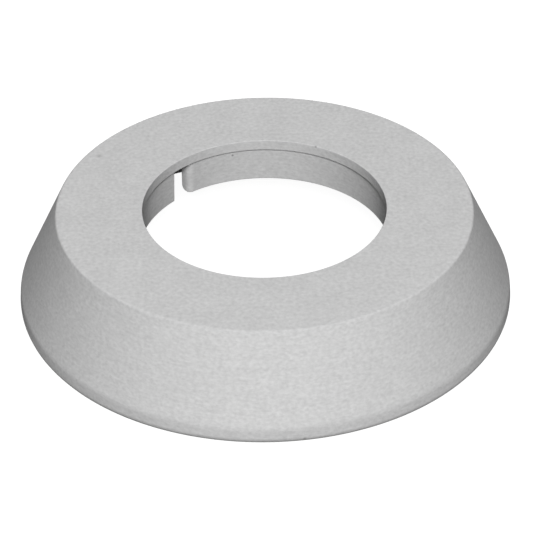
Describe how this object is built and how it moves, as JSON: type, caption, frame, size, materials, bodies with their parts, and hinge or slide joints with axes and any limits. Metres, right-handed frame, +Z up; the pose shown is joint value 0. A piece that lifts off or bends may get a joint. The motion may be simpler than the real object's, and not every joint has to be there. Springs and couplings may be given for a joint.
{
  "type": "pipe escutcheon",
  "caption": "One-piece conical cover ring that hides the hole around a pipe, with a flat top plate, a pipe bore and a split collar hanging inside.",
  "frame": {"origin": "on the pipe's axis, in the plane of the foot", "axes": "+Z up along the pipe's axis, from the foot to the top plate; the collar's slot lies at the back left"},
  "size_m": [0.085, 0.085, 0.0176],
  "materials": {
    "moulded_plastic": "light grey moulded plastic with a fine matt grain"
  },
  "bodies": {
    "root": {"escutcheon": "moulded_plastic"}
  },
  "joints": []
}
